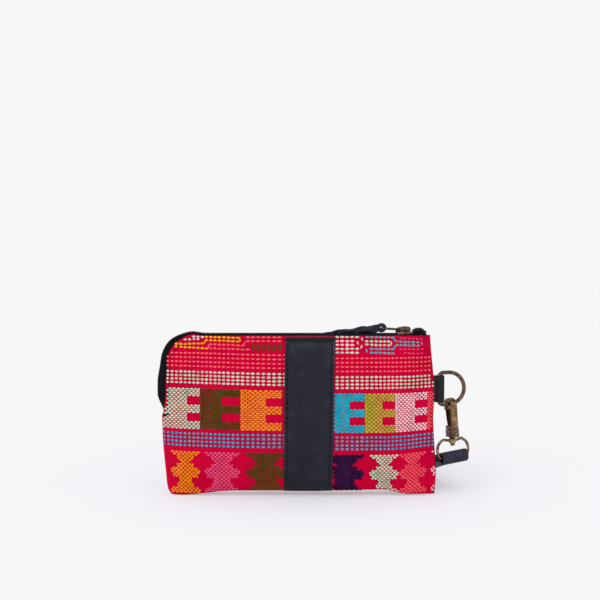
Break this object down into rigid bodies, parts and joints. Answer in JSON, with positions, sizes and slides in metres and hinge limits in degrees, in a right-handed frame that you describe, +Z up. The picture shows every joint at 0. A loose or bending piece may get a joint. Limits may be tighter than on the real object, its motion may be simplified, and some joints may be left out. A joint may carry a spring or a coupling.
{
  "type": "zip wristlet",
  "caption": "Slim zipped woven pouch with a leather band, side D-ring, swivel snap hook and leather wrist strap.",
  "frame": {"origin": "on the floor under the middle of the whole part", "axes": "+Z up, +X towards the D-ring end of the pouch, the pouch's front faces -Y"},
  "size_m": [0.2219, 0.1573, 0.121],
  "materials": {
    "cloth": "crimson plain weave with brocade figures",
    "lining": "dark plain lining",
    "leather": "matte black leather",
    "tape": "black zip tape",
    "teeth": "black coil teeth",
    "antique_brass": "antique brass, worn bright on edges",
    "steel": "plain spring steel"
  },
  "bodies": {
    "pouch": {"front_panel": "cloth", "back_panel": "cloth", "front_lining": "lining", "back_lining": "lining", "zip_tape_front": "tape", "zip_tape_back": "tape", "zip_teeth_front": "teeth", "zip_teeth_back": "teeth", "zip_end_front": "tape", "zip_end_back": "tape", "zip_bottom_stop": "antique_brass", "leather_band": "leather", "side_tab": "leather"},
    "slider": {"slider_body": "antique_brass", "slider_bridge": "antique_brass"},
    "link": {"pull_link": "antique_brass"},
    "thong": {"pull_thong": "leather"},
    "d_ring": {"d_ring": "antique_brass"},
    "hook": {"hook_body": "antique_brass", "gate_pin": "steel", "gate_spring": "steel", "swivel_pin": "antique_brass"},
    "gate": {"hook_gate": "antique_brass"},
    "swivel": {"swivel_ring": "antique_brass"},
    "strap": {"wrist_strap": "leather"}
  },
  "joints": [
    {"name": "zip_slide", "type": "slide", "parent": "pouch", "child": "slider", "axis": [-1, 0, 0], "range_m": [0, 0.136]},
    {"name": "link_flip", "type": "hinge", "parent": "slider", "child": "link", "pos_m": [0.05876, -0.06475, 0.1175], "axis": [0, 1, 0], "range_deg": [0, 150]},
    {"name": "thong_flip", "type": "hinge", "parent": "link", "child": "thong", "pos_m": [0.04599, -0.06475, 0.11839], "axis": [0, -1, 0], "range_deg": [-85, 0]},
    {"name": "d_ring_swing", "type": "hinge", "parent": "pouch", "child": "d_ring", "pos_m": [0.08671, -0.06475, 0.0753], "axis": [0, 0, 1], "range_deg": [-85, 4]},
    {"name": "hook_swing", "type": "hinge", "parent": "d_ring", "child": "hook", "pos_m": [0.0954, -0.06242, 0.06397], "axis": [-0.9596, -0.2571, -0.114], "range_deg": [-60, 8]},
    {"name": "gate_open", "type": "hinge", "parent": "hook", "child": "gate", "pos_m": [0.09577, -0.061, 0.04606], "axis": [0.8893, 0.454, 0.0544], "range_deg": [0, 18], "stiffness_Nm_per_rad": 0.02, "springref_deg": -20.05},
    {"name": "swivel_turn", "type": "hinge", "parent": "hook", "child": "swivel", "pos_m": [0.09699, -0.06242, 0.03802], "axis": [0.0611, 0, -0.9981], "range_deg": [-6, 190]},
    {"name": "strap_hinge", "type": "hinge", "parent": "swivel", "child": "strap", "pos_m": [0.09772, -0.06242, 0.02605], "axis": [-0.9327, -0.3395, -0.1219], "range_deg": [-45, 95]}
  ]
}
